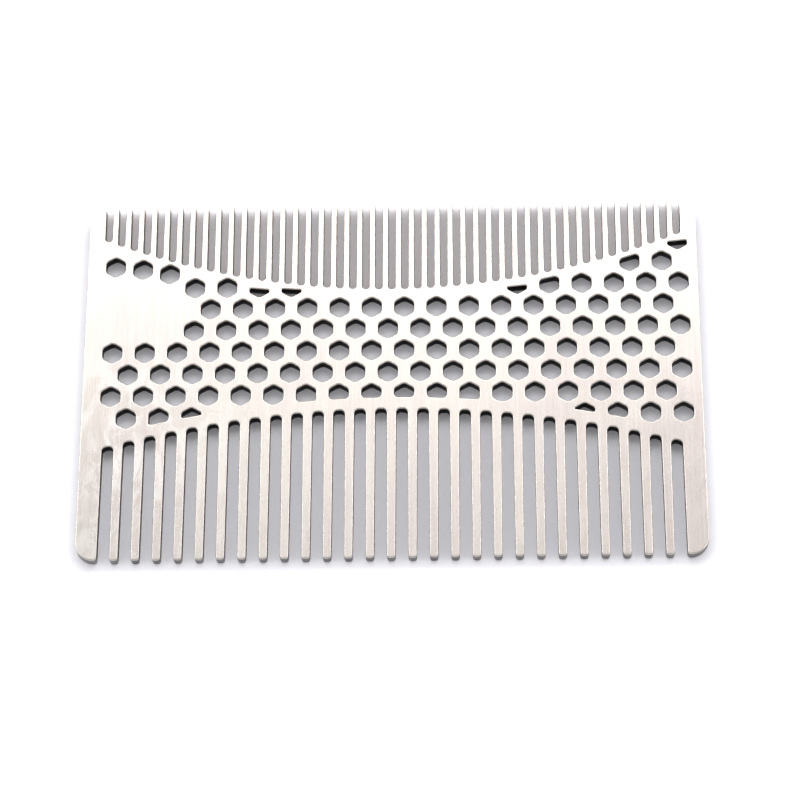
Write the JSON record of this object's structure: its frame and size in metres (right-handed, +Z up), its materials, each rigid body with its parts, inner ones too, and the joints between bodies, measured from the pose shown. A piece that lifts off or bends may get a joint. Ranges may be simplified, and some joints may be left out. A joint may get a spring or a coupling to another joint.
{
  "type": "card-size metal comb",
  "caption": "Flat one-piece steel comb the size of a bank card, fine teeth on one long edge, coarse teeth on the other, hexagon-perforated web between.",
  "frame": {"origin": "centre of the back face, where the comb lies on a table", "axes": "+X along the length, +Y towards the fine teeth, +Z up through the thickness"},
  "size_m": [0.0856, 0.054, 0.0016],
  "materials": {
    "steel": "satin, lightly worn, with rounded bright edges"
  },
  "bodies": {
    "root": {"perforated_web": "steel", "fine_teeth": "steel", "fine_guards": "steel", "coarse_teeth": "steel", "coarse_guards": "steel"}
  },
  "joints": []
}
